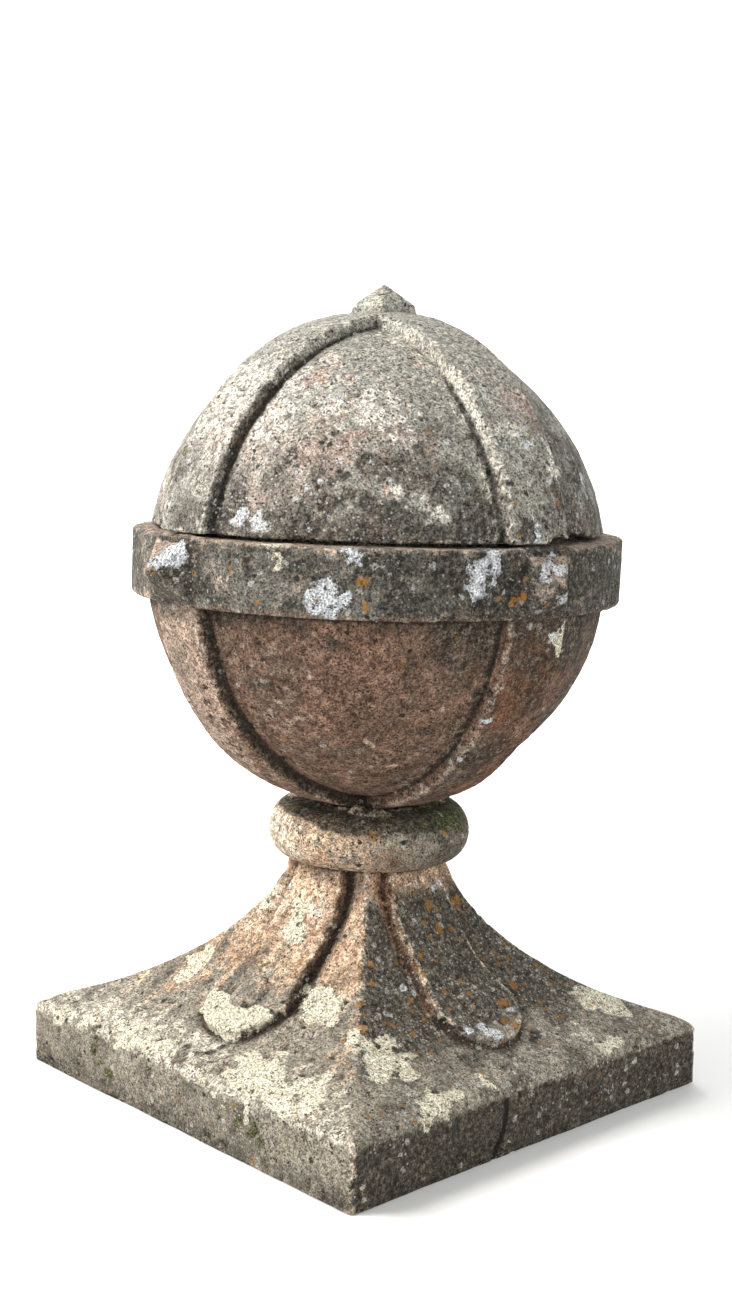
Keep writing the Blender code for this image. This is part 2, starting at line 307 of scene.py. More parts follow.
def crack_offset(y, height):
    """Distance along the plinth's right side from the crack, which wanders."""
    share = height / PLINTH_EDGE
    bend = CRACK_BEND * np.sin(math.pi * np.clip(share, 0, 1))
    return y - CRACK_FOOT - (CRACK_TOP - CRACK_FOOT) * share - bend


def pedestal_distance(points, wear):
    """Plinth, hollow faces with their tongues, and collar."""
    x, y = np.abs(points[:, 0]), np.abs(points[:, 1])
    height = points[:, 2]
    half, out, down, across = FACE.places(points, wear["hip"])
    shank = FACE.shank_half(down)
    beside = across - shank
    ease = np.clip(np.minimum(down, FACE.shank - down) / 0.02, -0.5, 1)
    groove = GROOVE_DEPTH * np.clip(1 - beside / GROOVE_WIDTH, 0, 1) * np.clip(ease, 0, 1)
    face = out + np.where(beside > 0, groove, 0) + wear["coarse"]
    worn = ((half - PLINTH_HALF) * EDGE_WEAR_RISE + (height - PLINTH_EDGE) * EDGE_WEAR_RUN)
    worn = worn / math.hypot(EDGE_WEAR_RISE, EDGE_WEAR_RUN) + wear["coarse"]
    body = soft_max(face, worn, FACE_JOIN)
    crack = np.abs(crack_offset(points[:, 1], height)) + 0.001 * noise(points, 0.006, 61)
    crack = CRACK_DEPTH * np.clip(1 - crack / CRACK_HALF_WIDTH, 0, 1) * (points[:, 0] > PLINTH_HALF - 0.02)
    body = soft_max(body, half - PLINTH_HALF + wear["side"] + crack, wear["edge"])
    body = np.maximum(body, height - NECK_Z)
    outline = soft_max(beside, down - FACE.shank, 0.002)
    lobe = ellipse((across, down - FACE.shank - NOTCH_LENGTH), (LOBE_WIDTH / 2, LOBE_LENGTH))
    lobe = np.maximum(lobe, FACE.shank - 0.02 - down)
    outline = np.minimum(outline, lobe)
    tongue = soft_max(out - TONGUE_RISE + wear["coarse"], outline, wear["arris"])
    tongue = np.maximum(tongue, height - NECK_Z)
    rise = np.where(down < FACE.shank, 1.3 * BOSS_LENGTH, BOSS_LENGTH)
    boss = ellipse((across, down - FACE.shank, out - TONGUE_RISE), (BOSS_RADIUS, rise, BOSS_RISE))
    body = soft_min(body, tongue, CREASE)
    body = soft_min(body, boss + wear["coarse"], 0.002)
    rho = np.hypot(points[:, 0], points[:, 1])
    bead = np.maximum(rho - NECK_CORNER, 0)
    collar = ellipse((bead, height - COLLAR_MIDDLE), (COLLAR_BULGE, COLLAR_HEIGHT / 2))
    body = soft_min(body, collar + wear["collar"], CREASE)
    seat = height - COLLAR_TOP + MORTAR_SINK
    body = soft_min(body, np.hypot(rho - MORTAR_RADIUS, seat * 0.9) - wear["mortar"], SOFT_CREASE)
    for quarter, size in enumerate(MOUND_SIZES):
        angle = MOUND_ANGLE + quarter * math.pi / 2
        x = points[:, 0] * math.cos(angle) + points[:, 1] * math.sin(angle) - MOUND_RADIUS
        y = points[:, 1] * math.cos(angle) - points[:, 0] * math.sin(angle)
        mound = ellipse((x, y, seat), (MOUND_DEPTH, MOUND_WIDTH * size, MOUND_HEIGHT * size))
        body = soft_min(body, mound + 2 * wear["coarse"], SOFT_CREASE)
    ball = ball_frame(points)
    reach = np.linalg.norm(ball, axis=1)
    smooth = {"coarse": 0.0, "side": 0.0, "arris": ARRIS}
    bowl = strapped(ball, reach - BALL_RADIUS, reach - STRAP_RADIUS, smooth)
    return np.maximum(body, 2 * GAP - bowl)


def strap_side(ball):
    """Distance from the nearest strap's side, negative on the strap."""
    return np.minimum(np.abs(ball[:, 0]), np.abs(ball[:, 1])) - STRAP_WIDTH / 2


def sunny_wall(ball):
    """1 beside the strap walls that face the sun, 0 elsewhere."""
    x, y = ball[:, 0], ball[:, 1]
    facing = np.where(np.abs(x) > np.abs(y), SUNNY[1] * np.sign(y), SUNNY[0] * np.sign(x))
    return ramp(0.013 - np.abs(strap_side(ball) - 0.005), 0, 0.006) * (facing > 0)


def strapped(ball, panel, strap, wear):
    """Sunk panels between two crossing straps."""
    raised = soft_max(strap + wear["coarse"], strap_side(ball) + wear["side"], wear["arris"])
    return soft_min(panel + wear["coarse"], raised, 0.0025)


def lower_distance(points, wear):
    """Bowl, belt and studs."""
    ball = ball_frame(points)
    reach = np.linalg.norm(ball, axis=1)
    rho = np.hypot(ball[:, 0], ball[:, 1])
    height = ball[:, 2]
    bowl = strapped(ball, reach - BALL_RADIUS, reach - STRAP_RADIUS, wear)
    bowl = np.maximum(bowl, height - BAND_MIDDLE)
    level = np.abs(height - BAND_MIDDLE)
    ends = level - BAND_HEIGHT / 2 + wear["side"]
    belt = soft_max(rho - BAND_RADIUS + wear["coarse"], ends, wear["edge"])
    tip = BAND_RADIUS + STUD_RISE
    foot = math.sqrt(BAND_RADIUS ** 2 - (STUD_SIDE / 2) ** 2)
    slope = STUD_SIDE / 2 / (tip - foot)
    cosine = 1 / math.hypot(1, slope)
    studs = np.full(len(points), 1.0)
    for one, two in ((0, 1), (1, 0)):
        out = np.abs(ball[:, one])
        wide = soft_max(np.abs(ball[:, two]), level, ARRIS)
        pyramid = (wide - slope * (tip - out)) * cosine + wear["stud"]
        studs = np.minimum(studs, np.maximum(pyramid, foot - 0.01 - out))
    belt = soft_min(belt, studs, CREASE)
    body = soft_min(bowl, belt, CREASE)
    bed = np.maximum(rho - BED_RADIUS, np.abs(height - BAND_TOP) - BED_HEIGHT)
    return np.minimum(body, bed)


def upper_distance(points, wear):
    """Dome with its straps, block and pyramid."""
    ball = ball_frame(points)
    rho = np.hypot(ball[:, 0], ball[:, 1])
    height = ball[:, 2]
    panel = ellipse((rho, height), (BALL_RADIUS, DOME_RISE))
    strap = ellipse((rho, height), (STRAP_RADIUS, STRAP_TOP))
    body = strapped(ball, panel, strap, wear)
    turn = np.arctan2(points[:, 1], points[:, 0]) - BROKEN_ANGLE
    broken = np.clip(1 - (turn / BROKEN_HALF_ANGLE) ** 2, 0, 1) * ramp(rho, BROKEN_INNER, BROKEN_OUTER)
    broken *= 0.8 + 0.5 * noise(points, 0.014, 261) + 0.3 * noise(points, 0.006, 262)
    foot = DOME_FOOT - height + wear["foot"] + BROKEN_RISE * np.maximum(broken, 0)
    body = soft_max(body, foot, wear["edge"])
    wide = soft_max(np.abs(ball[:, 0]), np.abs(ball[:, 1]), ARRIS)
    slope = CAP_POINT / (CAP_SIDE / 2)
    top = STRAP_TOP + CAP_BLOCK + CAP_POINT
    pyramid = (height - top + slope * wide) / math.hypot(1, slope)
    cap = soft_max(pyramid, wide - CAP_SIDE / 2, ARRIS) + wear["stud"]
    cap = np.maximum(cap, STRAP_TOP - 0.02 - height)
    return soft_min(body, cap, ARRIS)


def chips(points, size, seed, start, depth):
    """Scattered bites: nothing below the noise value start, depth at its top."""
    return depth * ramp(layered(points, size, seed, 2), start, start + 0.35)


def surface_wear(points, seed):
    """Unevenness of a weathered casting, in metres, positive where stone is lost."""
    swell = 0.0008 * noise(points, 0.060, seed) + 0.0005 * noise(points, 0.022, seed + 1)
    grain = 0.00025 * noise(points, 0.007, seed + 2) + 0.0002 * noise(points, 0.0035, seed + 3)
    pits = chips(points, 0.0085, seed + 4, 0.36, 0.0020)
    return swell + grain + pits


def pedestal_wear(points):
    coarse = surface_wear(points, 11)
    broken = chips(points, 0.024, 31, 0.14, 0.010)
    top = 0.0105 + 0.0035 * layered(points, 0.022, 41, 3)
    return {
        "coarse": coarse,
        "side": coarse + 0.0006,
        "hip": 0.004 + 0.5 * broken,
        "edge": 0.004 + broken,
        "arris": 0.0016 + 0.15 * broken,
        "collar": 0.7 * coarse,
        "mortar": top,
    }


def lower_wear(points):
    coarse = surface_wear(points, 111)
    broken = chips(points, 0.026, 131, 0.20, 0.010)
    return {
        "coarse": coarse,
        "side": 0.6 * coarse,
        "edge": 0.0035 + broken,
        "arris": 0.003 + 0.4 * broken,
        "stud": coarse + 0.0006,
    }


def upper_wear(points):
    coarse = surface_wear(points, 211)
    broken = chips(points, 0.026, 231, 0.20, 0.010)
    return {
        "coarse": coarse,
        "side": 0.6 * coarse,
        "foot": 0.7 * coarse * ramp(np.hypot(points[:, 0], points[:, 1]), 0.175, 0.195),
        "edge": 0.003 + broken,
        "arris": 0.003 + 0.4 * broken,
        "stud": 0.8 * coarse + 0.0003,
    }


# Mesh work: steps and limits in metres
PROBE = 0.0002
LONGEST_MOVE = 0.004
FLAT = 2e-5


def fine_copy(node, voxel):
    """A copy of a solid, remeshed into even small faces."""
    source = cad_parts[node]
    mesh = source.data.copy()
    piece = bpy.data.objects.new(node + "_fine", mesh)
    bpy.context.scene.collection.objects.link(piece)
    remesh = piece.modifiers.new("remesh", "REMESH")
    remesh.mode = "VOXEL"
    remesh.voxel_size = voxel
    bpy.context.view_layer.update()
    evaluated = piece.evaluated_get(bpy.context.evaluated_depsgraph_get())
    fine = bpy.data.meshes.new_from_object(evaluated)
    piece.modifiers.clear()
    piece.data = fine
    bpy.data.meshes.remove(mesh)
    return piece


def read(items, name, width=3, kind=float):
    values = np.empty(len(items) * width, dtype=kind)
    items.foreach_get(name, values)
    return values.reshape(-1, width)


def write_points(mesh, points):
    mesh.vertices.foreach_set("co", points.ravel())
    mesh.update()


def edge_pairs(mesh):
    return read(mesh.edges, "vertices", 2, np.int64)


def relax(points, pairs, share):
    """Move each point part of the way to the mean of its neighbours."""
    total = np.zeros_like(points)
    count = np.zeros(len(points))
    for one, two in ((0, 1), (1, 0)):
        np.add.at(count, pairs[:, one], 1)
        for axis in range(3):
            total[:, axis] += np.bincount(pairs[:, one], points[pairs[:, two], axis], len(points))
    return points + (total / count[:, None] - points) * share


def project(points, distance, rounds):
    """Bring points onto the surface where the distance is nothing."""
    for _ in range(rounds):
        value = distance(points)
        slope = np.empty_like(points)
        for axis in range(3):
            shift = np.zeros(3)
            shift[axis] = PROBE
            slope[:, axis] = (distance(points + shift) - value) / PROBE
        size = np.maximum((slope ** 2).sum(axis=1), 0.25)
        move = slope * (value / size)[:, None]
        length = np.linalg.norm(move, axis=1, keepdims=True)
        points = points - move * np.minimum(1, LONGEST_MOVE / np.maximum(length, 1e-9))
    return points


def shaped(piece):
    """The solid's own form, remeshed, worn and pitted, within the solid's box."""
    shape = fine_copy(piece.node, piece.voxel)
    mesh = shape.data
    pairs = edge_pairs(mesh)
    points = read(mesh.vertices, "co")
    for share in (0.6, 0.4):
        wear = piece.wear(points)
        points = project(relax(points, pairs, share), lambda p: piece.distance(p, wear), 3)
    wear = piece.wear(points)
    points = project(points, lambda p: piece.distance(p, wear), 2)
    low, high = (np.array(corner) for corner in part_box(piece.node))
    high[2] += MORTAR_LIFT if piece.node == "pedestal" else 0
    write_points(mesh, np.clip(points, low, high))
    melt_flat(mesh, piece.hidden_level, piece.hidden_reach)
    mesh.shade_smooth()
    return shape


def melt_flat(mesh, level, reach):
    """Join the small faces of a hidden flat side, at one height, into one face."""
    shape = bmesh.new()
    shape.from_mesh(mesh)
    at_level = {vert for vert in shape.verts if abs(vert.co.z - level) < FLAT}
    flat = {vert for vert in at_level if max(abs(vert.co.x), abs(vert.co.y)) < reach}
    faces = [face for face in shape.faces if all(vert in flat for vert in face.verts)]
    bmesh.ops.dissolve_faces(shape, faces=faces, use_verts=False)
    shape.to_mesh(mesh)
    shape.free()


# Weathering masks: one number at each point of a mesh for each kind of growth or stain

# Where growths sit, as columns and rows of the photograph, with their radius in millimetres
GROWTHS = {
    "cream": (
        (294, 913, 9), (296, 926, 11), (293, 938, 8), (270, 892, 6), (265, 905, 7), (207, 955, 9),
        (195, 966, 11), (186, 976, 8), (322, 1000, 20), (333, 1012, 15), (312, 1012, 11),
        (365, 1042, 14), (385, 1047, 16), (398, 1052, 10), (375, 1066, 13), (206, 1004, 8),
        (212, 1017, 9), (224, 1025, 9), (238, 1026, 8), (250, 1018, 7), (130, 1033, 13),
        (150, 1038, 15), (168, 1040, 11), (120, 1025, 7), (235, 1075, 17), (265, 1080, 22),
        (295, 1095, 20), (320, 1098, 13), (250, 1062, 13), (305, 1110, 11), (405, 1075, 11),
        (440, 1105, 13), (425, 1112, 11), (455, 1098, 9), (482, 1080, 9), (595, 998, 17),
        (615, 1006, 13), (605, 1045, 11), (616, 1040, 9), (60, 1012, 10), (85, 1020, 9),
    ),
    "white": (
        (322, 592, 10), (330, 605, 11), (312, 603, 7), (343, 598, 7), (345, 553, 8), (358, 555, 6),
        (485, 572, 14), (478, 588, 9), (495, 562, 9), (557, 568, 11), (165, 556, 10),
        (153, 562, 8), (178, 549, 9), (168, 549, 8), (433, 888, 4), (439, 883, 4), (446, 889, 4),
        (409, 979, 4), (415, 994, 5),
        (512, 1010, 5), (499, 1036, 7), (402, 985, 4), (525, 441, 5), (535, 533, 6), (583, 480, 6),
        (459, 759, 4), (555, 637, 4), (486, 720, 5), (364, 821, 2), (565, 600, 7), (240, 515, 9),
        (258, 520, 7), (545, 575, 7), (485, 1032, 7), (470, 1030, 6),
    ),
    "orange": (
        (371, 965, 4), (360, 1003, 5), (365, 1028, 5), (386, 1022, 4), (395, 1026, 4), (439, 928, 5),
        (431, 939, 4), (456, 900, 6), (428, 907, 5), (419, 954, 4), (437, 963, 3), (462, 940, 3),
        (445, 991, 4), (504, 1002, 6), (515, 986, 5), (517, 1026, 6), (506, 1019, 6), (363, 583, 5),
        (366, 605, 4), (513, 602, 5), (521, 600, 5), (371, 837, 4), (446, 833, 4), (438, 474, 7),
        (500, 600, 3), (345, 1040, 4), (372, 985, 3), (409, 1001, 4), (300, 545, 3), (545, 607, 4),
    ),
    "moss": (
        (440, 812, 15), (456, 822, 11), (430, 803, 12), (415, 806, 10), (300, 806, 9), (318, 803, 8),
        (100, 1060, 6), (108, 1073, 6), (250, 1130, 7), (238, 1118, 6), (260, 1142, 6), (93, 1047, 5),
    ),
    "stain": (
        (345, 810, 13), (370, 810, 15), (395, 812, 13), (415, 814, 9), (407, 843, 3), (416, 838, 3),
        (209, 983, 3), (243, 1001, 11), (225, 520, 13), (236, 495, 10), (284, 462, 10), (300, 520, 13),
        (330, 510, 15), (365, 525, 16), (400, 528, 14), (440, 535, 12), (480, 525, 16), (490, 495, 12),
        (367, 470, 11), (345, 480, 9), (422, 452, 9), (450, 480, 11), (400, 462, 7), (330, 478, 7),
        (520, 530, 10), (545, 520, 10), (560, 500, 10), (300, 420, 5), (262, 385, 4), (450, 385, 6),
        (260, 350, 9), (285, 335, 9), (505, 470, 7), (470, 440, 8), (575, 470, 10), (590, 510, 9),
        (243, 565, 10), (205, 590, 8), (300, 575, 10), (390, 570, 12), (420, 600, 10), (450, 580, 10),
        (515, 560, 8), (600, 590, 10), (330, 640, 10), (440, 640, 12), (480, 690, 12), (210, 1050, 8),
        (250, 1040, 8), (90, 1030, 7), (180, 1055, 8), (335, 1075, 8), (420, 945, 11), (455, 930, 12),
        (470, 960, 12), (480, 1000, 10), (455, 1000, 9), (420, 1010, 9), (390, 1000, 8), (505, 960, 10),
        (545, 990, 10), (470, 1060, 10), (540, 1040, 9), (640, 1050, 8), (420, 1150, 12), (470, 1130, 12),
        (590, 1095, 12), (650, 1070, 12), (430, 830, 8), (445, 845, 6),
    ),
    "clean": (
        (275, 415, 18), (262, 435, 12), (340, 358, 14), (365, 345, 9), (345, 400, 20), (385, 415, 18),
        (300, 380, 14), (410, 435, 10), (240, 515, 8), (258, 520, 7), (445, 515, 8), (428, 500, 7),
        (405, 494, 9), (510, 425, 11), (525, 440, 8), (600, 610, 8), (385, 760, 11), (370, 745, 8),
        (300, 720, 8), (280, 705, 7), (145, 1030, 14), (110, 1015, 12), (250, 1070, 20), (300, 1095, 18),
        (200, 1045, 10), (370, 1050, 14), (395, 1035, 10), (600, 1000, 18), (580, 1030, 12),
        (395, 950, 5), (372, 1015, 6), (190, 555, 6), (560, 565, 7), (330, 555, 8), (485, 575, 9),
    ),
    "warm": (
        (335, 360, 16), (270, 420, 15), (402, 495, 10), (310, 385, 12), (420, 370, 8),
        (555, 497, 8), (350, 440, 10), (240, 440, 10), (437, 480, 7), (470, 650, 8), (485, 660, 9),
        (500, 700, 8), (270, 960, 8), (240, 940, 9), (455, 905, 9), (440, 880, 10), (345, 575, 6),
    ),
}


# Crusts reach further than the radius given for their middle
CRUST_SPREAD = {"cream": 1.28, "white": 1.15}


def camera_ray(column, row):
    """The camera's place and the direction through a pixel of the photograph."""
    place, right, up, forward = camera_axes()
    across = (column - PHOTO_WIDTH / 2) / FOCAL_PIXELS
    down = (row - PHOTO_HEIGHT / 2) / FOCAL_PIXELS
    return place, (forward + right * across - up * down).normalized()


def find_growths(trees):
    """The point on the stone under each growth of the photograph."""
    found = {kind: [] for kind in GROWTHS}
    for kind, spots in GROWTHS.items():
        for column, row, radius in spots:
            place, ray = camera_ray(column, row)
            hits = [tree.ray_cast(place, ray) for tree in trees]
            hits = [(away, spot) for spot, _, _, away in hits if spot is not None]
            if hits:
                nearest = min(hits, key=lambda hit: hit[0])[1]
                found[kind].append((nearest, radius / 1000 * CRUST_SPREAD.get(kind, 1.0)))
    return found


def ragged(points):
    """A shift for each point, in radii, that makes round spots irregular."""
    broad = np.stack([layered(points, 0.016, 501 + axis, 3) for axis in range(3)], axis=1)
    small = np.stack([noise(points, 0.006, 531 + axis) for axis in range(3)], axis=1)
    return 1.1 * broad + 0.4 * small


def spread(points, bend, spots):
    """1 at the middle of the nearest spot, 0 at its ragged edge, falling to -1 beyond."""
    field = np.full(len(points), -1.0)
    for place, radius in spots:
        near = np.flatnonzero(np.abs(points - np.array(place)).max(axis=1) < 3 * radius)
        away = np.linalg.norm(points[near] + bend[near] * radius - np.array(place), axis=1) / radius
        field[near] = np.maximum(field[near], 1 - away)
    return field


def unseen_growths(points, normals, seed, count):
    """Like growths, scattered over the sides that the photograph doesn't show."""
    random = np.random.RandomState(seed)
    found = {kind: [] for kind in GROWTHS}
    sizes = {
        "cream": (0.006, 0.020), "white": (0.004, 0.011), "orange": (0.003, 0.005), "stain": (0.008, 0.022),
        "clean": (0.008, 0.022), "moss": (0.005, 0.010), "warm": (0.008, 0.020),
    }
    back = np.flatnonzero((normals @ TOWARD_CAMERA < 0.05) & (normals[:, 2] > -0.8) & (points[:, 2] > 0.01))
    kinds = list(sizes)
    for index in random.choice(back, count):
        kind = kinds[random.randint(len(kinds))]
        small, large = sizes[kind]
        found[kind].append((points[index], random.uniform(small, large)))
    return found


def pedestal_masks(points, normals):
    """Warm on the sunny faces' upper part, dark on the shaded ones."""
    down, across = FACE.places(points, SOFT_CREASE)[2:]
    x, y, height = points.T
    sunny = ((y < 0) & (np.abs(y) >= np.abs(x))) | ((x < 0) & (np.abs(x) > np.abs(y)))
    on_y = np.abs(y) >= np.abs(x)
    streak = np.stack([np.where(on_y, x, y) * 5, down, np.where(on_y, 0.0, 1.0)], axis=1)
    streaks = layered(streak, 0.050, 601, 4)
    blotch = layered(points, 0.045, 611, 4)
    small = layered(points, 0.016, 615, 3)
    # side: how far a point faces the light. By it the collar and slopes are painted paler and warmer on the
    # lit side, and the collar and plinth sides darker on the far side: painted light and shade
    side = normals @ SUNNY
    collar = ramp(height, NECK_Z - 0.002, NECK_Z + 0.003)
    upright = ramp(PLINTH_EDGE - 0.001 - height, 0, 0.004)
    slope = (1 - collar) * (1 - upright)
    edge = across - FACE.shank_half(down)
    # Grooves beside each tongue: rust-coloured. On the faces turned to the light they are painted darker, a
    # painted shadow; on the faces turned away they are painted warmer and lighter, a painted highlight on
    # the groove's lit wall
    groove = slope * ramp(edge, -0.003, 0.001) * (1 - ramp(edge, 0.005, GROOVE_WIDTH))
    groove *= ramp(FACE.shank - down, 0, 0.01)
    # Painted shadow: a dark band under the rim of each lobe, carried to the depth mask as shade
    lobe = ellipse((across, down - FACE.shank - NOTCH_LENGTH), (LOBE_WIDTH / 2, LOBE_LENGTH))
    lobe_shadow = slope * ramp(lobe, -0.0025, 0.0005) * (1 - ramp(lobe, 0.003, 0.010))
    lobe_shadow *= down > FACE.shank - 0.008

    warm_sunny = 0.95 - 0.80 * ramp(down, 0.060, 0.170) + 0.45 * streaks
    warm_shade = 0.80 - 0.80 * ramp(down, 0.005, 0.060) + 0.30 * small + 0.7 * groove
    warm = slope * np.where(sunny, warm_sunny, warm_shade)
    warm += collar * (0.48 + 0.30 * side + 0.45 * blotch) + upright * (0.10 + 0.3 * blotch)

    shade_body = ramp(down, 0.012, 0.050) * (1 - 0.74 * ramp(down, 0.150, 0.195))
    dark_shade = 0.10 + 0.85 * shade_body + 0.36 * small - 0.70 * groove
    sunny_body = ramp(down, 0.045, 0.12) * (1 - ramp(down, 0.20, 0.26))
    dark_sunny = 0.20 - 0.18 * ramp(down, 0.01, 0.05) + 0.17 * sunny_body
    dark_sunny += 0.20 * small - 0.40 * streaks + 0.40 * groove
    top = ramp(normals[:, 2] + 0.30 * blotch - 0.30 * ramp(side, 0.2, 0.8), 0.25, 0.60) * collar
    dark = slope * (np.where(sunny, dark_sunny, dark_shade) + 0.22 * blotch)
    dark += collar * (0.24 - 0.36 * side + 0.30 * blotch) + 0.95 * top
    # The plinth's sides turned from the light are painted darker: painted shade as well as dark growth
    dark += upright * (0.58 - 0.42 * side + 0.30 * blotch + 0.25 * ramp(height, 0.030, 0.0))
    dark += 1.2 * ramp(height, COLLAR_TOP - 0.0005, COLLAR_TOP + 0.002)

    reach = np.hypot(across, down - FACE.shank)
    crescent = np.minimum(-lobe / 0.004, (down - FACE.shank - 0.004) / 0.006)
    crescent = np.minimum(crescent, (reach - BOSS_RADIUS - 0.001) / 0.003)
    crescent = np.clip(np.where((y < 0) & on_y, crescent, -1), -1, 0.6)
    foot = ramp(down, 0.165, 0.215)
    pale = slope * (foot * np.where(sunny, 0.30, 0.14) + 0.15 * ramp(side, 0.3, 0.8) + 0.30 * blotch)
    pale += collar * (0.42 * ramp(side, 0.3, 0.9) + 0.2 * blotch) + upright * (0.12 + 0.25 * blotch)
    moss = -0.40 + 0.60 * collar * ramp(-side, -0.1, 0.6) * ramp(normals[:, 2], 0.1, 0.7)
    moss += 0.35 * upright * (blotch + small)
    rust = 1.2 * groove * ramp(0.18 - down, 0, 0.04) + 0.3 * slope * ramp(0.030 - down, 0, 0.02)
    shaded = slope * np.where(sunny, 0.0, ramp(down, 0.02, 0.06))
    fleck = 0.03 + 0.22 * shaded * (1 - upright) + 0.12 * blotch + 0.12 * small
    speck = 0.02 + 0.13 * shaded * (1 - 0.6 * ramp(down, 0.14, 0.20)) + 0.10 * small
    side_face = ramp(x, PLINTH_HALF - 0.008, PLINTH_HALF - 0.004) * upright
    crack = np.abs(crack_offset(y, height)) - 0.001 * small
    crack = side_face * ramp(CRACK_HALF_WIDTH - crack, 0, 0.0022)
    # Painted shade for the depth mask: the shadow under each lobe, the black inside the crack and the
    # plinth sides turned from the light; the grooves get less of it, most on the faces turned from the
    # light
    shade = 2.6 * lobe_shadow + 14.0 * crack + 4.6 * upright * ramp(-side, 0.0, 0.5)
    shade -= groove * np.where(sunny, 0.3, 2.4)
    return dict(warm=warm, dark=dark, pale=pale, moss=moss, rust=rust, fleck=fleck, speck=speck,
                cream=crescent, shade=shade)


def lower_masks(points, normals):
    """Reddish bowl, grey belt with a warm lower edge."""
    ball = ball_frame(points)
    height = ball[:, 2]
    blotch = layered(points, 0.050, 621, 4)
    small = layered(points, 0.016, 625, 3)
    # side is how far a point faces the light and shade how far it is turned away. The bowl and belt are
    # painted darker with shade, painted shade, with more rust on the bowl there; the straps and belt are
    # painted paler on the lit side, painted light
    side = normals @ SUNNY
    shade = ramp(-side, -0.2, 0.7)
    belt = ramp(height, -BAND_DROP - 0.001, -BAND_DROP + 0.002)
    bowl = 1 - belt
    edge = belt * (1 - ramp(height, -BAND_DROP + 0.002, -BAND_DROP + 0.010))
    top = belt * ramp(normals[:, 2], 0.4, 0.9)
    warm = bowl * (1.0 + 0.2 * blotch) + belt * (0.02 + 0.45 * blotch)
    warm += edge * (0.45 + 0.4 * small) - 0.3 * top
    dark = bowl * (0.12 + 0.36 * shade + 0.34 * blotch + 0.20 * small)
    dark += belt * (0.42 + 0.42 * shade + 0.42 * blotch + 0.42 * small) - 0.25 * edge - 0.45 * top
    reach = np.linalg.norm(ball, axis=1)
    beside = strap_side(ball)
    strap = bowl * ramp(reach, BALL_RADIUS + 0.008, BALL_RADIUS + 0.011)
    # Strap walls turned from the light are painted dark: painted shadow
    wall = bowl * ramp(0.004 - np.abs(beside - 0.002), 0, 0.003) * (reach < BALL_RADIUS + 0.009)
    dark += 0.75 * wall * ramp(-side, -0.6, 0.0)
    # Painted shadow on the bowl just under the belt
    dark += 0.30 * bowl * ramp(height, -BAND_DROP - 0.022, -BAND_DROP - 0.002)
    pale = strap * (0.15 + 0.75 * ramp(side, 0.25, 0.9)) + 0.35 * bowl * blotch + 0.5 * top
    pale += belt * (0.15 * ramp(side, 0.2, 0.9) - 0.50 * small)
    out = np.maximum(np.abs(ball[:, 0]), np.abs(ball[:, 1]))
    wide = np.maximum(beside + STRAP_WIDTH / 2, np.abs(height - BAND_MIDDLE))
    # Stud facets facing up are painted paler, lichen with painted light; facets facing down are painted
    # darker, painted shade; the crease round each stud's foot is painted dark, painted shade
    stud = belt * ramp(np.hypot(ball[:, 0], ball[:, 1]) - BAND_RADIUS, 0.0005, 0.0025)
    stud *= wide < STUD_SIDE / 2
    foot = belt * ramp(0.006 - np.abs(wide - STUD_SIDE / 2), 0, 0.004) * (out > BAND_RADIUS * 0.95)
    pale += stud * (1.1 * ramp(normals[:, 2], 0.2, 0.6) + 0.2)
    dark += stud * (0.25 * ramp(-normals[:, 2], 0.1, 0.5) - 0.5 * ramp(normals[:, 2], 0.2, 0.6))
    dark += 0.40 * foot
    scratch = ball @ np.array([[0.5, 0.6, 0.2], [0.5, -0.6, 0.2], [0.9, 0.0, -1.6]])
    pale += 0.35 * bowl * layered(scratch * np.array([1, 1, 4.0]), 0.024, 651, 4)
    rust = bowl * (0.05 + 0.35 * shade + 0.4 * small) + 0.3 * bowl * strap * shade
    moss = -0.55 + 0.30 * belt * (blotch + small)
    fleck = belt * (0.11 + 0.22 * blotch + 0.15 * small) + bowl * (0.01 + 0.08 * blotch)
    speck = 0.02 + 0.05 * small + 0.02 * belt
    # Painted shade for the depth mask: shaded strap walls and stud feet, less beside strap walls that face
    # the light
    shade = 2.4 * wall * ramp(-side, -0.7, 0.0) + 1.4 * foot - 1.6 * bowl * sunny_wall(ball)
    return dict(warm=warm, dark=dark, pale=pale, moss=moss, rust=rust, fleck=fleck, speck=speck,
                shade=shade)


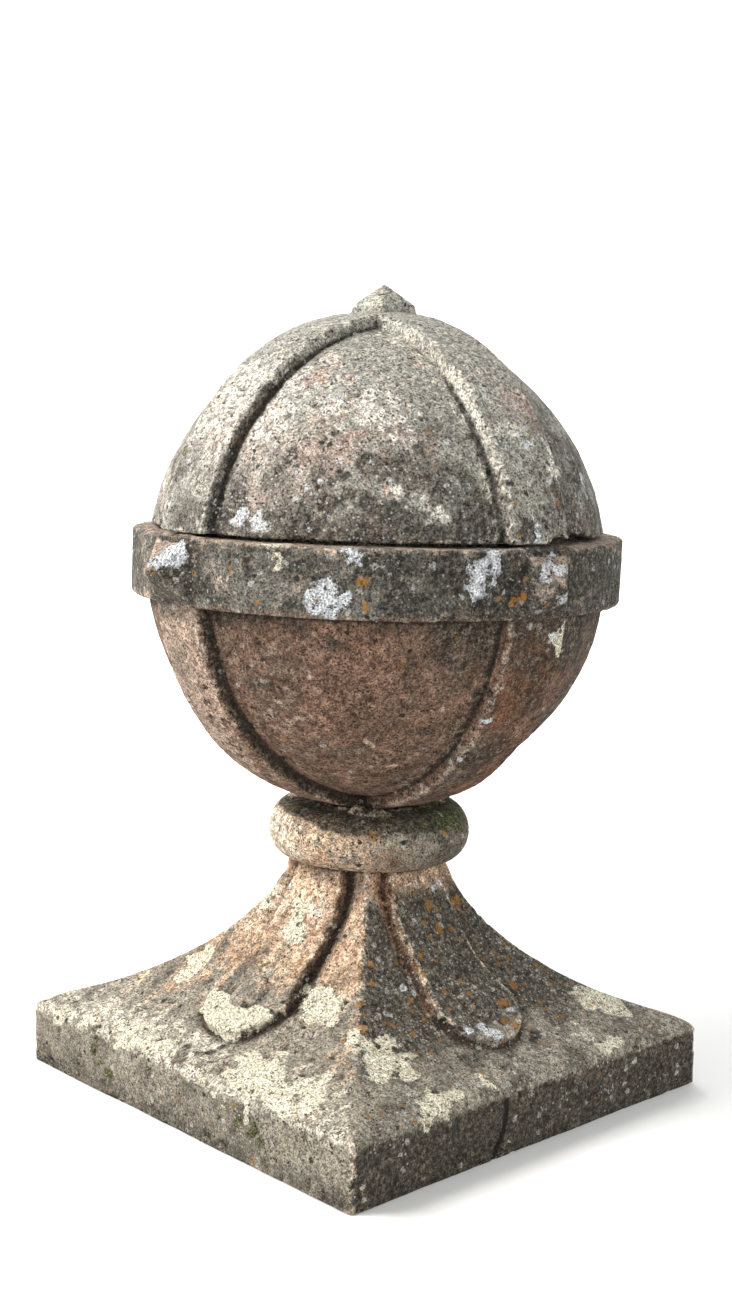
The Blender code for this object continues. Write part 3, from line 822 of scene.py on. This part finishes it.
def upper_masks(points, normals):
    """Pale dome, darker to its foot and on its shaded side."""
    ball = ball_frame(points)
    height = ball[:, 2]
    blotch = layered(points, 0.055, 631, 4)
    small = layered(points, 0.018, 641, 4)
    runs = layered(points * np.array([1, 1, 0.25]), 0.022, 645, 3)
    # side is how far a point faces the light and shade how far it is turned away. The dome is painted
    # darker with shade, painted shade, and paler and warmer on the lit side, painted light
    side = normals @ SUNNY
    shade = ramp(-side, -0.35, 0.55)
    lift = height + 0.040 * blotch + 0.020 * runs
    low = 1 - ramp(lift, 0.045, 0.135)
    beside = strap_side(ball)
    strap = ramp(-beside, 0, 0.003) * (1 - ramp(side, 0.3, 0.8))
    high = ramp(height, 0.14, 0.21)
    dark = 0.15 + 0.22 * shade * (1 - 0.8 * high) - 0.24 * high
    dark += 0.10 * ramp(side, 0.5, 0.9) - 0.26 * strap
    dark += 0.42 * low * (1 - 0.8 * ramp(side, 0.75, 0.95)) * (1 - 0.50 * shade)
    dark += 0.24 * blotch + 0.34 * small
    # Strap walls turned from the light are painted dark: painted shadow
    reach = np.sqrt((ball[:, 0] ** 2 + ball[:, 1] ** 2) / STRAP_RADIUS ** 2 + (height / STRAP_TOP) ** 2)
    wall = ramp(0.005 - np.abs(beside - 0.002), 0, 0.003) * (reach < 1 - 0.25 * STRAP_RISE / STRAP_RADIUS)
    dark += 0.75 * wall * ramp(-side, -0.7, 0.1) * (1 - 0.7 * high)
    crown = ramp(height, 0.16, 0.23)
    warm = 0.15 + 0.25 * ramp(side, -0.2, 0.6) + 0.55 * blotch - 0.3 * crown
    pale = 0.10 + 0.35 * ramp(side, 0.0, 0.8) + 0.30 * small - 0.35 * crown
    moss = -0.70 + 0.42 * crown + 0.3 * blotch
    rust = np.full(len(points), -0.2)
    fleck = 0.09 + 0.20 * blotch + 0.10 * small
    speck = 0.02 + 0.05 * small
    # Painted shade for the depth mask: shaded strap walls; less beside strap walls that face the light and
    # on the crown
    shade = 1.8 * wall * ramp(-side, -0.7, 0.1)
    shade -= 3.5 * sunny_wall(ball) + 1.6 * ramp(height, 0.15, 0.21)
    return dict(warm=warm, dark=dark, pale=pale, moss=moss, rust=rust, fleck=fleck, speck=speck,
                shade=shade)


def hollowness(mesh, points, normals):
    """How far each point lies in a narrow and in a wide hollow, in mm, negative on an arris."""
    pairs = edge_pairs(mesh)
    smooth = points
    depths = []
    for rounds in (5, 20):
        for _ in range(rounds):
            smooth = relax(smooth, pairs, 1.0)
        depths.append(((smooth - points) * normals).sum(axis=1) * 1000)
    return depths


def store(mesh, name, values):
    layer = mesh.attributes.new(name, "FLOAT", "POINT")
    layer.data.foreach_set("value", values.astype(np.float32))


def weather(shape, masks, found, seed):
    """Write every mask of a piece to its mesh."""
    mesh = shape.data
    points, normals = read(mesh.vertices, "co"), read(mesh.vertices, "normal")
    values = masks(points, normals)
    hidden = unseen_growths(points, normals, seed, 70)
    bend = ragged(points)
    fields = {}
    for kind in GROWTHS:
        looseness = 1.8 if kind in ("stain", "clean", "warm") else 1.0
        fields[kind] = spread(points, bend * looseness, found[kind] + hidden[kind])
    for kind in ("cream", "white", "orange"):
        values[kind] = np.maximum(fields[kind], values.get(kind, -1.0))
    clean = ramp(fields["clean"], -0.4, 0.5)
    values["dark"] += 0.55 * ramp(fields["stain"], -0.3, 0.5) - 0.40 * clean
    values["pale"] += 0.45 * clean - 0.3 * ramp(fields["stain"], -0.3, 0.5)
    values["warm"] += 0.60 * ramp(fields["warm"], -0.4, 0.4)
    values["moss"] = np.maximum(values["moss"], 0.9 * fields["moss"])
    values["hollow"], values["deep"] = hollowness(mesh, points, normals)
    # Each piece's painted shade goes into the wide hollow depth; where it is negative it also lessens the
    # narrow hollows, and so their dirt and painted shade
    shade = values.pop("shade")
    values["deep"] += shade
    values["hollow"] += 0.35 * np.minimum(shade, 0)
    for name, value in values.items():
        store(mesh, name, value)


# Materials

def linear(red, green, blue):
    """A colour given as it looks on a screen, from 0 to 255, as scene light."""
    parts = []
    for value in (red, green, blue):
        value /= 255
        parts.append(value / 12.92 if value <= 0.04045 else ((value + 0.055) / 1.055) ** 2.4)
    return (*parts, 1.0)


# The soot colours also paint shade, where the dark masks carry painted shade
SOOT_AND_SHADE = linear(40, 39, 34)
SOOT_AND_SHADE_WORN = linear(86, 80, 70)
MOSS = linear(34, 38, 22)
MOSS_TIP = linear(98, 102, 56)
CREAM = linear(232, 226, 206)
CREAM_OLD = linear(196, 188, 164)
WHITE = linear(226, 227, 228)
WHITE_OLD = linear(170, 174, 180)
ORANGE = linear(176, 124, 52)
ORANGE_OLD = linear(132, 92, 46)
# PIT paints the inside of open pits dark, painted shade with dirt; CRACK paints the inside of the crack
# near-black, painted shade
PIT = linear(34, 30, 25)
CRACK = linear(18, 15, 12)
PAPER = linear(244, 244, 243)
BUMP_DEPTH = 0.0018


class Nodes:
    """Short names for the nodes that the stone is made of."""

    def __init__(self, material):
        self.tree = material.node_tree
        self.place = self.add("ShaderNodeTexCoord").outputs["Object"]

    def add(self, kind, **settings):
        node = self.tree.nodes.new(kind)
        for name, value in settings.items():
            setattr(node, name, value)
        return node

    def put(self, value, socket):
        if isinstance(value, bpy.types.NodeSocket):
            self.tree.links.new(value, socket)
        else:
            socket.default_value = value

    def shifted(self, *shift):
        mapping = self.add("ShaderNodeMapping")
        self.put(self.place, mapping.inputs["Vector"])
        mapping.inputs["Location"].default_value = shift
        return mapping.outputs["Vector"]

    def noise(self, scale, detail, roughness, shift):
        node = self.add("ShaderNodeTexNoise")
        self.put(self.shifted(shift, shift * 0.7, -shift), node.inputs["Vector"])
        node.inputs["Scale"].default_value = scale
        node.inputs["Detail"].default_value = detail
        node.inputs["Roughness"].default_value = roughness
        return node.outputs["Fac"]

    def cells(self, scale, shift):
        """Distance to the nearest of scattered points, and three random values for each."""
        node = self.add("ShaderNodeTexVoronoi")
        self.put(self.shifted(shift, -shift, shift * 0.5), node.inputs["Vector"])
        node.inputs["Scale"].default_value = scale
        split = self.add("ShaderNodeSeparateColor")
        self.put(node.outputs["Color"], split.inputs["Color"])
        return node.outputs["Distance"], split.outputs

    def worked_out(self, operation, *values):
        node = self.add("ShaderNodeMath", operation=operation)
        for value, socket in zip(values, node.inputs):
            self.put(value, socket)
        return node.outputs[0]

    def sum(self, one, two, scale):
        """one + two * scale"""
        return self.worked_out("MULTIPLY_ADD", two, scale, one)

    def larger(self, one, two):
        return self.worked_out("MAXIMUM", one, two)

    def times(self, one, two):
        return self.worked_out("MULTIPLY", one, two)

    def step(self, value, low, high, start=0.0, end=1.0):
        node = self.add("ShaderNodeMapRange", interpolation_type="SMOOTHSTEP")
        for part, socket in zip((value, low, high, start, end), node.inputs):
            self.put(part, socket)
        return node.outputs["Result"]

    def mix(self, one, two, share, blend="MIX"):
        node = self.add("ShaderNodeMix", data_type="RGBA", blend_type=blend)
        self.put(share, node.inputs["Factor"])
        self.put(one, node.inputs[6])
        self.put(two, node.inputs[7])
        return node.outputs[2]

    def dots(self, cells, which, density, ragged, strength, wide, narrow):
        """Irregular dots in some of the cells, more of them where the density is higher."""
        distance, values = cells
        away = self.sum(self.sum(distance, ragged, strength), -0.5, strength)
        chosen = self.sum(density, values[which], -1.0)
        return self.times(self.step(away, wide, narrow), self.step(chosen, 0.0, 0.03))

    def tint(self, value):
        """A grey colour from a number."""
        node = self.add("ShaderNodeCombineColor")
        for socket in node.inputs:
            self.put(value, socket)
        return node.outputs["Color"]

    def mask(self, name):
        return self.add("ShaderNodeAttribute", attribute_name=name).outputs["Fac"]


class Textures:
    """The noises and scattered cells that all layers of the stone share."""

    def __init__(self, nodes):
        self.nodes = nodes
        self.broad = nodes.noise(17, 6, 0.70, 0.0)
        self.other = nodes.noise(31, 6, 0.74, 3.1)
        self.clot = nodes.noise(85, 5, 0.74, 7.7)
        self.crumb = nodes.noise(210, 4, 0.75, 1.7)
        self.grain = nodes.noise(560, 2, 0.70, 5.3)
        self.fine_cells = nodes.cells(380, 2.0)
        self.wide_cells = nodes.cells(135, 4.0)

    def grown(self, mask, low, high, *parts):
        """A mask made ragged by centred noises, then a step."""
        value = self.nodes.mask(mask)
        for field, strength in parts:
            value = self.nodes.sum(self.nodes.sum(value, field, strength), -0.5, strength)
        return self.nodes.step(value, low, high)

    def mottled(self, colour, field, low, high, dark, light):
        """A colour made darker and lighter by a noise."""
        light = self.nodes.step(field, low, high, dark, light)
        return self.nodes.mix(colour, self.nodes.tint(light), 1.0, "MULTIPLY")


def stained_stone(nodes, maps, palette):
    """Bare stone with its rust, soot and painted shade, dirt and painted shade in hollows, worn arrises and
    moss.
    """
    warm = nodes.mix(palette["warm"], palette["warm_other"], nodes.step(maps.other, 0.38, 0.62))
    grey = nodes.mix(palette["grey"], palette["grey_other"], nodes.step(maps.clot, 0.38, 0.62))
    colour = nodes.mix(grey, warm, maps.grown("warm", 0.15, 0.65, (maps.other, 1.6), (maps.clot, 1.0)))
    share = maps.grown("pale", 0.12, 0.50, (maps.other, 1.3), (maps.clot, 1.1), (maps.crumb, 0.6))
    colour = nodes.mix(colour, palette["pale"], nodes.times(share, 0.75))
    share = maps.grown("rust", 0.20, 0.80, (maps.broad, 0.9), (maps.clot, 0.9))
    colour = nodes.mix(colour, palette["rust"], nodes.times(share, 0.72))
    # The dark mask holds soot and black growth together with painted shade: sides turned from the light,
    # shaded strap walls, the bowl under the belt and the stud facets facing down
    share = maps.grown("dark", 0.12, 0.62, (maps.other, 1.5), (maps.clot, 1.0), (maps.crumb, 1.0))
    soot_and_shade = nodes.mix(SOOT_AND_SHADE, SOOT_AND_SHADE_WORN, nodes.step(maps.crumb, 0.42, 0.62))
    colour = nodes.mix(colour, soot_and_shade, nodes.times(share, 0.84))
    # Hollows and creases, and the painted shadows in the depth mask, are darkened: dirt and painted shade
    dirt_and_shade = nodes.step(nodes.mask("hollow"), 0.15, 1.0)
    dirt_and_shade = nodes.sum(nodes.times(dirt_and_shade, 0.55), nodes.step(nodes.mask("deep"), 0.7, 3.2), 0.45)
    dirt_and_shade = nodes.times(dirt_and_shade, nodes.step(maps.clot, 0.30, 0.55, 0.45, 1.0))
    dirt_and_shade = nodes.larger(dirt_and_shade, nodes.step(nodes.mask("deep"), 4.0, 7.0, 0.0, 0.9))
    colour = nodes.mix(colour, palette["dirt_and_shade"], dirt_and_shade)
    worn = nodes.times(nodes.step(nodes.mask("hollow"), -0.4, -1.5), nodes.step(maps.clot, 0.42, 0.60))
    colour = nodes.mix(colour, palette["edge"], nodes.times(worn, 0.65))
    mossy = maps.grown("moss", -0.12, 0.20, (maps.clot, 0.9), (maps.crumb, 1.1))
    moss = nodes.mix(MOSS, MOSS_TIP, nodes.step(maps.grain, 0.38, 0.66))
    colour = nodes.mix(colour, moss, nodes.times(mossy, 0.82))
    colour = maps.mottled(colour, maps.clot, 0.34, 0.66, 0.64, 1.30)
    return maps.mottled(colour, maps.crumb, 0.34, 0.66, 0.50, 1.46), mossy


def lichens(nodes, maps, palette, colour):
    """Pale flecks, cream and white crusts and orange spots over the stone."""
    density = nodes.mask("fleck")
    fleck = nodes.dots(maps.fine_cells, 0, density, maps.grain, 1.2, 0.46, 0.36)
    density = nodes.sum(nodes.times(density, 0.7), maps.clot, 0.10)
    patch = nodes.dots(maps.wide_cells, 0, density, maps.crumb, 2.2, 0.40, 0.30)
    colour = nodes.mix(colour, palette["fleck"], nodes.times(nodes.larger(fleck, patch), 0.62))
    cream_share = maps.grown("cream", -0.02, 0.14, (maps.crumb, 1.5), (maps.clot, 1.2))
    cream = nodes.mix(CREAM, CREAM_OLD, nodes.step(maps.crumb, 0.42, 0.60))
    colour = nodes.mix(colour, cream, nodes.times(cream_share, 0.90))
    white_share = maps.grown("white", 0.00, 0.20, (maps.crumb, 2.1), (maps.clot, 1.6))
    white = nodes.mix(WHITE, WHITE_OLD, nodes.step(maps.crumb, 0.42, 0.62))
    colour = nodes.mix(colour, white, nodes.times(white_share, 0.88))
    spots = maps.grown("orange", 0.0, 0.30, (maps.crumb, 2.2), (maps.clot, 1.0))
    specks = nodes.dots(maps.wide_cells, 1, nodes.mask("speck"), maps.crumb, 2.0, 0.36, 0.28)
    orange = nodes.mix(ORANGE, ORANGE_OLD, nodes.step(maps.grain, 0.4, 0.65))
    colour = nodes.mix(colour, orange, nodes.times(nodes.larger(spots, specks), 0.78))
    return colour, cream_share, white_share


def pitted(nodes, maps, colour):
    """Grain, open pits painted dark as shade with dirt, and the crack's depth painted black as shade."""
    colour = maps.mottled(colour, maps.grain, 0.32, 0.68, 0.38, 1.54)
    fine = nodes.dots(maps.fine_cells, 1, 0.22, maps.grain, 1.0, 0.40, 0.30)
    pits = nodes.larger(fine, nodes.dots(maps.wide_cells, 2, 0.10, maps.crumb, 1.6, 0.30, 0.22))
    colour = nodes.mix(colour, PIT, nodes.times(pits, 0.85))
    split = nodes.step(nodes.mask("deep"), 6.5, 10.0, 0.0, 0.95)
    return nodes.mix(colour, CRACK, split), pits


def stone(name, palette):
    """Weathered stone whose growths and stains follow the masks on the mesh."""
    material = bpy.data.materials.new(name)
    material.use_nodes = True
    nodes = Nodes(material)
    maps = Textures(nodes)
    shader = nodes.tree.nodes["Principled BSDF"]
    palette = {part: linear(*shown) for part, shown in palette.items()}
    colour, mossy = stained_stone(nodes, maps, palette)
    colour, cream, white = lichens(nodes, maps, palette, colour)
    colour, pits = pitted(nodes, maps, colour)
    nodes.put(colour, shader.inputs["Base Color"])
    rough = nodes.step(maps.broad, 0.3, 0.7, 0.80, 0.96)
    nodes.put(nodes.sum(rough, mossy, 0.03), shader.inputs["Roughness"])
    shader.inputs["Specular IOR Level"].default_value = 0.25
    height = nodes.times(maps.crumb, 1.2)
    raised = ((maps.grain, 0.5), (maps.clot, 0.7), (cream, 0.22), (white, 0.25), (mossy, 0.3), (pits, -0.9))
    for field, strength in raised:
        height = nodes.sum(height, field, strength)
    bump = nodes.add("ShaderNodeBump")
    bump.inputs["Strength"].default_value = 1.0
    bump.inputs["Distance"].default_value = BUMP_DEPTH
    nodes.put(height, bump.inputs["Height"])
    nodes.put(bump.outputs["Normal"], shader.inputs["Normal"])
    return material


# Colours of each piece's stone as they look on a screen, from 0 to 255
# Each palette's dirt colour also paints shade in hollows, creases and the painted shadows
PALETTES = {
    "pedestal": {
        "warm": (210, 182, 154), "warm_other": (184, 150, 122), "grey": (172, 164, 149),
        "grey_other": (138, 129, 114), "pale": (220, 213, 196), "edge": (220, 202, 178),
        "rust": (132, 92, 68), "dirt_and_shade": (58, 47, 38), "fleck": (198, 195, 186),
    },
    "lower_half_ball": {
        "warm": (130, 103, 86), "warm_other": (108, 84, 70), "grey": (130, 127, 118),
        "grey_other": (94, 91, 84), "pale": (182, 160, 142), "edge": (158, 144, 126),
        "rust": (126, 80, 50), "dirt_and_shade": (50, 40, 33), "fleck": (180, 178, 172),
    },
    "upper_half_ball": {
        "warm": (196, 174, 160), "warm_other": (176, 152, 138), "grey": (182, 179, 168),
        "grey_other": (144, 141, 130), "pale": (216, 211, 199), "edge": (212, 205, 190),
        "rust": (150, 112, 84), "dirt_and_shade": (50, 46, 38), "fleck": (206, 207, 206),
    },
}


FLOOR_REACH = 2.6
SWEEP_RADIUS = 1.2
BACKDROP_HEIGHT = 6.0
SWEEP_STEPS = 16


def stage():
    """A pale round sweep that is floor below and backdrop behind."""
    profile = [(0.0, 0.0, 0.0)]
    for i in range(SWEEP_STEPS + 1):
        angle = math.pi / 2 * i / SWEEP_STEPS
        out = FLOOR_REACH + SWEEP_RADIUS * math.sin(angle)
        profile.append((out, 0.0, SWEEP_RADIUS * (1 - math.cos(angle))))
    profile.append((FLOOR_REACH + SWEEP_RADIUS, 0.0, BACKDROP_HEIGHT))
    mesh = bpy.data.meshes.new("sweep")
    mesh.from_pydata(profile, [(i, i + 1) for i in range(len(profile) - 1)], [])
    sweep = bpy.data.objects.new("sweep", mesh)
    bpy.context.scene.collection.objects.link(sweep)
    screw = sweep.modifiers.new("turn", "SCREW")
    screw.steps = 96
    screw.render_steps = 96
    screw.use_smooth_shade = True
    sweep.location.z = -0.0005
    material = bpy.data.materials.new("paper")
    material.use_nodes = True
    shader = material.node_tree.nodes["Principled BSDF"]
    shader.inputs["Base Color"].default_value = PAPER
    shader.inputs["Roughness"].default_value = 0.9
    mesh.materials.append(material)


def add_area(name, place, target, size, power, colour):
    data = bpy.data.lights.new(name, "AREA")
    data.shape = "DISK"
    data.size = size
    data.energy = power
    data.color = colour
    lamp = bpy.data.objects.new(name, data)
    lamp.location = place
    lamp.rotation_euler = (Vector(place) - Vector(target)).to_track_quat("Z", "Y").to_euler()
    lamp.visible_camera = False
    bpy.context.scene.collection.objects.link(lamp)


def lights():
    world = bpy.data.worlds.new("world")
    bpy.context.scene.world = world
    world.use_nodes = True
    sky = world.node_tree.nodes["Background"]
    sky.inputs["Color"].default_value = (0.94, 0.97, 1.0, 1)
    sky.inputs["Strength"].default_value = 0.46
    add_area("key", (-1.2, -1.9, 2.3), (0, 0, 0.4), 1.2, 95, (1.0, 0.98, 0.95))
    add_area("fill", (2.4, -1.2, 1.2), (0, 0, 0.4), 1.6, 8, (0.93, 0.96, 1.0))
    add_area("backdrop", (-1.6, 1.5, 3.4), (-3.4, 3.2, 0.9), 2.4, 110, (1.0, 1.0, 1.0))


add_camera()
lights()
stage()

Piece = namedtuple("Piece", "node voxel distance wear hidden_level hidden_reach masks slot seed")
PIECES = (
    Piece("pedestal", 0.00285, pedestal_distance, pedestal_wear, 0.0, 0.215,
          pedestal_masks, "pedestal_stone", 701),
    Piece("lower_half_ball", 0.00265, lower_distance, lower_wear, BALL_Z + BAND_TOP + BED_HEIGHT, 0.128,
          lower_masks, "lower_ball_stone", 702),
    Piece("upper_half_ball", 0.0023, upper_distance, upper_wear, BALL_Z + DOME_FOOT, 0.118,
          upper_masks, "upper_ball_stone", 703),
)
shapes = [shaped(piece) for piece in PIECES]
graph = bpy.context.evaluated_depsgraph_get()
growths = find_growths([BVHTree.FromObject(shape, graph) for shape in shapes])
for piece, shape in zip(PIECES, shapes):
    weather(shape, piece.masks, growths, piece.seed)
    shape.data.materials.clear()
    shape.data.materials.append(stone(piece.slot, PALETTES[piece.node]))
    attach(shape, "root")
    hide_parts(piece.node)

bpy.context.scene.view_settings.view_transform = "Standard"
